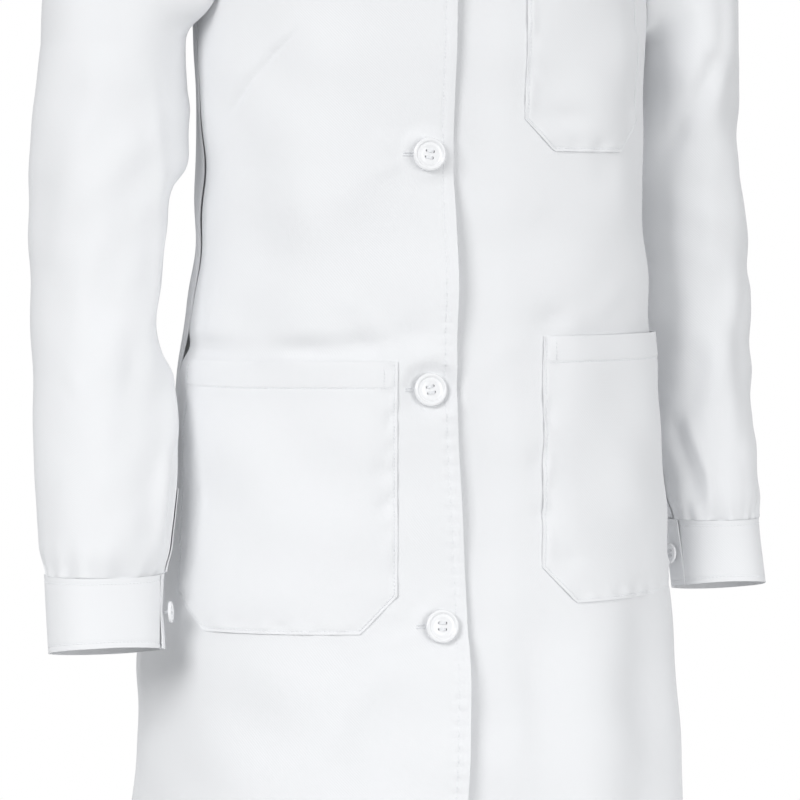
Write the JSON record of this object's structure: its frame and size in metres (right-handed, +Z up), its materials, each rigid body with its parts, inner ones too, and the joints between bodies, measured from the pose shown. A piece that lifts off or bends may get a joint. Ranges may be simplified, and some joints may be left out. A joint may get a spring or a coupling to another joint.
{
  "type": "lab coat",
  "caption": "Woman's knee-length white lab coat: notched collar, buttoned right over left, long cuffed sleeves, chest and hip patch pockets.",
  "frame": {"origin": "the lowest point of the hanger loop inside the back of the neck, where a hook holds the coat", "axes": "+Z up along the hanging coat, -Y out of its front, +X towards the wearer's left side"},
  "size_m": [0.6013, 0.3106, 1.0008],
  "materials": {
    "cloth": "plain-woven white poly-cotton",
    "facing_cloth": "plain-woven white poly-cotton",
    "button_plastic": "polished white polyester",
    "sewing_thread": "twisted white thread",
    "loop_tape": "rolled white tape"
  },
  "bodies": {
    "coat": {"right_front": "cloth", "left_front": "cloth", "right_back": "cloth", "left_back": "cloth", "right_lapel": "cloth", "left_lapel": "cloth", "collar_stand": "cloth", "collar": "cloth", "right_hip_pocket": "cloth", "left_hip_pocket": "cloth", "left_chest_pocket": "cloth", "right_facing": "facing_cloth", "left_facing": "facing_cloth", "hanger_loop": "loop_tape"},
    "right_sleeve": {"right_sleeve": "cloth", "right_cuff": "cloth", "right_slit_binding": "facing_cloth"},
    "left_sleeve": {"left_sleeve": "cloth", "left_cuff": "cloth", "left_slit_binding": "facing_cloth"},
    "front_button_1": {"front_button_1": "button_plastic", "front_button_1_thread": "sewing_thread"},
    "front_button_2": {"front_button_2": "button_plastic", "front_button_2_thread": "sewing_thread"},
    "front_button_3": {"front_button_3": "button_plastic", "front_button_3_thread": "sewing_thread"},
    "front_button_4": {"front_button_4": "button_plastic", "front_button_4_thread": "sewing_thread"},
    "right_cuff_button": {"right_cuff_button": "button_plastic", "right_cuff_button_thread": "sewing_thread"},
    "left_cuff_button": {"left_cuff_button": "button_plastic", "left_cuff_button_thread": "sewing_thread"}
  },
  "joints": [
    {"name": "right_shoulder", "type": "hinge", "parent": "coat", "child": "right_sleeve", "pos_m": [-0.185, -0.053, -0.039], "axis": [0, 1, 0], "range_deg": [0, 25]},
    {"name": "left_shoulder", "type": "hinge", "parent": "coat", "child": "left_sleeve", "pos_m": [0.185, -0.053, -0.039], "axis": [0, -1, 0], "range_deg": [0, 25]},
    {"name": "front_button_1_turn", "type": "hinge", "parent": "coat", "child": "front_button_1", "pos_m": [-0.02318, -0.1662, -0.14527], "axis": [-0.0505, -0.9946, 0.0908], "range_deg": [-30, 30]},
    {"name": "front_button_2_turn", "type": "hinge", "parent": "coat", "child": "front_button_2", "pos_m": [-0.02485, -0.16746, -0.32154], "axis": [-0.0486, -0.9988, 0], "range_deg": [-30, 30]},
    {"name": "front_button_3_turn", "type": "hinge", "parent": "coat", "child": "front_button_3", "pos_m": [-0.02619, -0.17528, -0.49731], "axis": [-0.0356, -0.9965, 0.0752], "range_deg": [-30, 30]},
    {"name": "front_button_4_turn", "type": "hinge", "parent": "coat", "child": "front_button_4", "pos_m": [-0.02176, -0.19262, -0.67321], "axis": [-0.0169, -0.9937, 0.1105], "range_deg": [-30, 30]},
    {"name": "right_cuff_button_turn", "type": "hinge", "parent": "right_sleeve", "child": "right_cuff_button", "pos_m": [-0.21775, -0.14134, -0.66238], "axis": [0.9455, -0.3158, 0.0789], "range_deg": [-30, 30]},
    {"name": "left_cuff_button_turn", "type": "hinge", "parent": "left_sleeve", "child": "left_cuff_button", "pos_m": [0.20606, -0.05665, -0.63763], "axis": [-0.9627, -0.2704, 0.0145], "range_deg": [-30, 30]}
  ]
}
